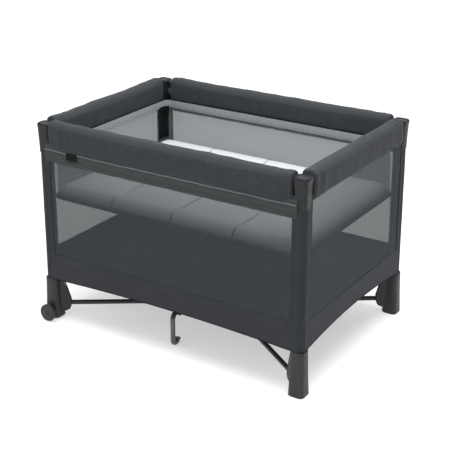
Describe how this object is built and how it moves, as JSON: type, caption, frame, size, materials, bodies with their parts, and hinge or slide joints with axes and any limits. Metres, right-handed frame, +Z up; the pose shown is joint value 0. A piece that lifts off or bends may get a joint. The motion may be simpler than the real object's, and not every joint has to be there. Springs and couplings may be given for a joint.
{
  "type": "travel play yard",
  "caption": "Folding travel play yard with padded top rails, mesh sides, a full-size bassinet insert and mattress, a folding cross-legged base, wheels at the left end and curled centre feet.",
  "frame": {"origin": "middle of the yard at floor level, under the centre hub", "axes": "+Z up, long sides along X, wheels at the -X end, the front long side towards -Y"},
  "size_m": [1.026, 0.7686, 0.712],
  "materials": {
    "post": "satin",
    "cap": "satin moulded plastic",
    "foot": "satin moulded plastic",
    "wheel": "satin",
    "axle": "plated",
    "leg": "powder coat",
    "hub": "satin moulded plastic",
    "strap": "woven webbing",
    "rail": "powder coat",
    "latch": "satin",
    "button": "satin",
    "pad": "padded woven polyester",
    "cover": "mesh and woven polyester",
    "floor": "woven polyester over board",
    "bassinet": "light mesh and woven polyester",
    "mattress": "quilted fabric over foam and board"
  },
  "bodies": {
    "corner_fl": {"post_fl": "post", "cap_fl": "cap", "foot_fl": "foot", "cover_fl": "cover", "axle_fl": "axle"},
    "corner_fr": {"post_fr": "post", "cap_fr": "cap", "foot_fr": "foot", "cover_fr": "cover"},
    "corner_br": {"post_br": "post", "cap_br": "cap", "foot_br": "foot", "cover_br": "cover"},
    "corner_bl": {"post_bl": "post", "cap_bl": "cap", "foot_bl": "foot", "cover_bl": "cover", "axle_bl": "axle"},
    "wheel_fl": {"wheel_fl": "wheel"},
    "wheel_bl": {"wheel_bl": "wheel"},
    "leg_fl": {"leg_fl": "leg", "floor_fl": "floor"},
    "leg_fr": {"leg_fr": "leg", "floor_fr": "floor"},
    "leg_br": {"leg_br": "leg", "floor_br": "floor"},
    "leg_bl": {"leg_bl": "leg", "floor_bl": "floor"},
    "hub": {"hub_housing": "hub", "hub_cover": "hub", "lift_strap": "strap"},
    "centre_foot_f": {"centre_foot_f": "leg"},
    "centre_foot_b": {"centre_foot_b": "leg"},
    "rail_fl_x": {"rail_fl_x": "rail", "pad_fl_x": "pad"},
    "rail_fl_y": {"rail_fl_y": "rail", "pad_fl_y": "pad"},
    "rail_fr_x": {"rail_fr_x": "rail", "pad_fr_x": "pad"},
    "rail_fr_y": {"rail_fr_y": "rail", "pad_fr_y": "pad"},
    "rail_br_x": {"rail_br_x": "rail", "pad_br_x": "pad"},
    "rail_br_y": {"rail_br_y": "rail", "pad_br_y": "pad"},
    "rail_bl_x": {"rail_bl_x": "rail", "pad_bl_x": "pad"},
    "rail_bl_y": {"rail_bl_y": "rail", "pad_bl_y": "pad"},
    "latch_f": {"latch_f": "latch"},
    "button_f": {"button_f": "button"},
    "latch_r": {"latch_r": "latch"},
    "button_r": {"button_r": "button"},
    "latch_b": {"latch_b": "latch"},
    "button_b": {"button_b": "button"},
    "latch_l": {"latch_l": "latch"},
    "button_l": {"button_l": "button"},
    "bassinet": {"bassinet_tub": "bassinet", "bassinet_rods": "post"},
    "mattress": {"mattress": "mattress"}
  },
  "joints": [
    {"name": "fold", "type": "hinge", "parent": "corner_fl", "child": "leg_fl", "pos_m": [-0.44539, -0.30621, 0.05], "axis": [0.5665, -0.824, 0], "range_deg": [0, 80], "deforming": ["cover_fl", "cover_fr", "cover_br", "cover_bl", "floor_fl", "floor_fr", "floor_br", "floor_bl", "pad_fl_x", "pad_fl_y", "pad_fr_x", "pad_fr_y", "pad_br_x", "pad_br_y", "pad_bl_x", "pad_bl_y"]},
    {"name": "hub_turn", "type": "hinge", "parent": "leg_fl", "child": "hub", "pos_m": [-0.05933, -0.04079, 0.05], "axis": [-0.5665, 0.824, 0], "range_deg": [0, 80]},
    {"name": "leg_fr_swing", "type": "hinge", "parent": "hub", "child": "leg_fr", "pos_m": [0.05933, -0.04079, 0.05], "axis": [0.5665, 0.824, 0], "range_deg": [0, 80]},
    {"name": "corner_fr_level", "type": "hinge", "parent": "leg_fr", "child": "corner_fr", "pos_m": [0.44539, -0.30621, 0.05], "axis": [-0.5665, -0.824, 0], "range_deg": [0, 80]},
    {"name": "leg_br_swing", "type": "hinge", "parent": "hub", "child": "leg_br", "pos_m": [0.05933, 0.04079, 0.05], "axis": [-0.5665, 0.824, 0], "range_deg": [0, 80]},
    {"name": "corner_br_level", "type": "hinge", "parent": "leg_br", "child": "corner_br", "pos_m": [0.44539, 0.30621, 0.05], "axis": [0.5665, -0.824, 0], "range_deg": [0, 80]},
    {"name": "leg_bl_swing", "type": "hinge", "parent": "hub", "child": "leg_bl", "pos_m": [-0.05933, 0.04079, 0.05], "axis": [-0.5665, -0.824, 0], "range_deg": [0, 80]},
    {"name": "corner_bl_level", "type": "hinge", "parent": "leg_bl", "child": "corner_bl", "pos_m": [-0.44539, 0.30621, 0.05], "axis": [0.5665, 0.824, 0], "range_deg": [0, 80]},
    {"name": "rail_fl_x_drop", "type": "hinge", "parent": "corner_fl", "child": "rail_fl_x", "pos_m": [-0.40106, -0.33, 0.684], "axis": [0, 1, 0], "range_deg": [0, 80]},
    {"name": "rail_fl_y_drop", "type": "hinge", "parent": "corner_fl", "child": "rail_fl_y", "pos_m": [-0.48, -0.28042, 0.684], "axis": [-1, 0, 0], "range_deg": [0, 80]},
    {"name": "rail_fr_x_drop", "type": "hinge", "parent": "corner_fr", "child": "rail_fr_x", "pos_m": [0.40106, -0.33, 0.684], "axis": [0, -1, 0], "range_deg": [0, 80]},
    {"name": "rail_fr_y_drop", "type": "hinge", "parent": "corner_fr", "child": "rail_fr_y", "pos_m": [0.48, -0.28042, 0.684], "axis": [-1, 0, 0], "range_deg": [0, 80]},
    {"name": "rail_br_x_drop", "type": "hinge", "parent": "corner_br", "child": "rail_br_x", "pos_m": [0.40106, 0.33, 0.684], "axis": [0, -1, 0], "range_deg": [0, 80]},
    {"name": "rail_br_y_drop", "type": "hinge", "parent": "corner_br", "child": "rail_br_y", "pos_m": [0.48, 0.28042, 0.684], "axis": [1, 0, 0], "range_deg": [0, 80]},
    {"name": "rail_bl_x_drop", "type": "hinge", "parent": "corner_bl", "child": "rail_bl_x", "pos_m": [-0.40106, 0.33, 0.684], "axis": [0, 1, 0], "range_deg": [0, 80]},
    {"name": "rail_bl_y_drop", "type": "hinge", "parent": "corner_bl", "child": "rail_bl_y", "pos_m": [-0.48, 0.28042, 0.684], "axis": [1, 0, 0], "range_deg": [0, 80]},
    {"name": "latch_f_level", "type": "hinge", "parent": "rail_fl_x", "child": "latch_f", "pos_m": [-0.015, -0.33, 0.684], "axis": [0, -1, 0], "range_deg": [0, 80]},
    {"name": "button_f_press", "type": "slide", "parent": "latch_f", "child": "button_f", "axis": [0, 0, 1], "range_m": [0, 0.003], "stiffness_N_per_m": 300, "springref_m": -0.002},
    {"name": "latch_b_level", "type": "hinge", "parent": "rail_bl_x", "child": "latch_b", "pos_m": [-0.015, 0.33, 0.684], "axis": [0, -1, 0], "range_deg": [0, 80]},
    {"name": "button_b_press", "type": "slide", "parent": "latch_b", "child": "button_b", "axis": [0, 0, 1], "range_m": [0, 0.003], "stiffness_N_per_m": 300, "springref_m": -0.002},
    {"name": "latch_r_level", "type": "hinge", "parent": "rail_fr_y", "child": "latch_r", "pos_m": [0.48, -0.015, 0.684], "axis": [1, 0, 0], "range_deg": [0, 80]},
    {"name": "button_r_press", "type": "slide", "parent": "latch_r", "child": "button_r", "axis": [0, 0, 1], "range_m": [0, 0.003], "stiffness_N_per_m": 300, "springref_m": -0.002},
    {"name": "latch_l_level", "type": "hinge", "parent": "rail_fl_y", "child": "latch_l", "pos_m": [-0.48, -0.015, 0.684], "axis": [1, 0, 0], "range_deg": [0, 80]},
    {"name": "button_l_press", "type": "slide", "parent": "latch_l", "child": "button_l", "axis": [0, 0, 1], "range_m": [0, 0.003], "stiffness_N_per_m": 300, "springref_m": -0.002},
    {"name": "centre_foot_f_tuck", "type": "hinge", "parent": "hub", "child": "centre_foot_f", "pos_m": [-0.012, -0.045, 0.116], "axis": [1, 0, 0], "range_deg": [0, 90]},
    {"name": "centre_foot_b_tuck", "type": "hinge", "parent": "hub", "child": "centre_foot_b", "pos_m": [0.012, 0.045, 0.116], "axis": [-1, 0, 0], "range_deg": [0, 90]},
    {"name": "wheel_fl_spin", "type": "hinge", "parent": "corner_fl", "child": "wheel_fl", "pos_m": [-0.477, -0.3735, 0.03], "axis": [0, -1, 0], "continuous": true},
    {"name": "wheel_bl_spin", "type": "hinge", "parent": "corner_bl", "child": "wheel_bl", "pos_m": [-0.477, 0.3735, 0.03], "axis": [0, -1, 0], "continuous": true},
    {"name": "bassinet_clear", "type": "slide", "parent": "hub", "child": "bassinet", "axis": [0, 0, 1], "range_m": [0, 0.38]},
    {"name": "mattress_lift", "type": "slide", "parent": "bassinet", "child": "mattress", "axis": [0, 0, 1], "range_m": [0, 0.3]}
  ],
  "couplings": [
    {"joint": "hub_turn", "follows": "fold", "ratio": 1},
    {"joint": "leg_fr_swing", "follows": "fold", "ratio": 1},
    {"joint": "corner_fr_level", "follows": "fold", "ratio": 1},
    {"joint": "leg_br_swing", "follows": "fold", "ratio": 1},
    {"joint": "corner_br_level", "follows": "fold", "ratio": 1},
    {"joint": "leg_bl_swing", "follows": "fold", "ratio": 1},
    {"joint": "corner_bl_level", "follows": "fold", "ratio": 1},
    {"joint": "rail_fl_x_drop", "follows": "fold", "ratio": 1},
    {"joint": "rail_fl_y_drop", "follows": "fold", "ratio": 1},
    {"joint": "rail_fr_x_drop", "follows": "fold", "ratio": 1},
    {"joint": "rail_fr_y_drop", "follows": "fold", "ratio": 1},
    {"joint": "rail_br_x_drop", "follows": "fold", "ratio": 1},
    {"joint": "rail_br_y_drop", "follows": "fold", "ratio": 1},
    {"joint": "rail_bl_x_drop", "follows": "fold", "ratio": 1},
    {"joint": "rail_bl_y_drop", "follows": "fold", "ratio": 1},
    {"joint": "latch_f_level", "follows": "fold", "ratio": 1},
    {"joint": "latch_b_level", "follows": "fold", "ratio": 1},
    {"joint": "latch_r_level", "follows": "fold", "ratio": 1},
    {"joint": "latch_l_level", "follows": "fold", "ratio": 1},
    {"joint": "centre_foot_f_tuck", "follows": "fold", "ratio": 1.125},
    {"joint": "centre_foot_b_tuck", "follows": "fold", "ratio": 1.125},
    {"joint": "bassinet_clear", "follows": "fold", "m_per_rad": 0.27}
  ]
}
